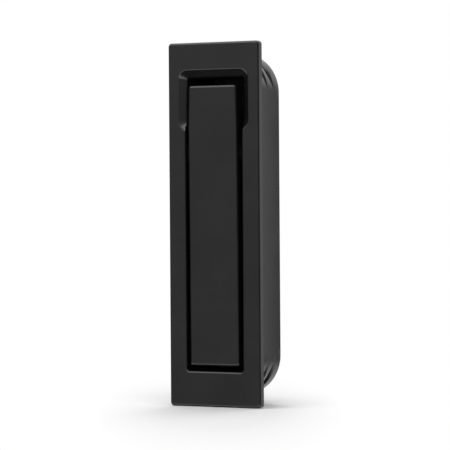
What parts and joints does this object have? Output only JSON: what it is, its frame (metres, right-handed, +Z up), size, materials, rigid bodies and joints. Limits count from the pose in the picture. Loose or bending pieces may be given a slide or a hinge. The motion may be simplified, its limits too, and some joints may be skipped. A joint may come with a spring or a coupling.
{
  "type": "pocket door pull",
  "caption": "Slim black push-in edge pull for a sliding pocket door: flat face plate, barbed round-ended housing and a see-saw lever that swings out as a grip.",
  "frame": {"origin": "centre of the face plate's back, in the plane that meets the door's edge", "axes": "+Y goes into the door along the housing, +Z is up along the plate's height with the pressed end of the lever on top, +X is across the door's edge to the right seen from the front"},
  "size_m": [0.028, 0.0193, 0.1],
  "materials": {
    "black_casting": "satin black powder coat on zinc",
    "lever_casting": "satin black powder coat on zinc",
    "pin_steel": "ground",
    "spring_steel": "oiled spring wire",
    "nylon": "matt moulded",
    "bumper_rubber": "matt moulded"
  },
  "bodies": {
    "housing": {"cast_body": "black_casting", "pivot_pin": "pin_steel", "return_spring": "spring_steel", "rest_bumper": "bumper_rubber", "stop_bumper": "bumper_rubber"},
    "lever": {"pull_lever": "lever_casting", "bush_left": "nylon", "bush_right": "nylon"}
  },
  "joints": [
    {"name": "lever_swing", "type": "hinge", "parent": "housing", "child": "lever", "pos_m": [0, 0.004, 0.02], "axis": [-1, 0, 0], "range_deg": [0, 36], "stiffness_Nm_per_rad": 0.07, "springref_deg": -28.65, "deforming": ["return_spring"]}
  ]
}
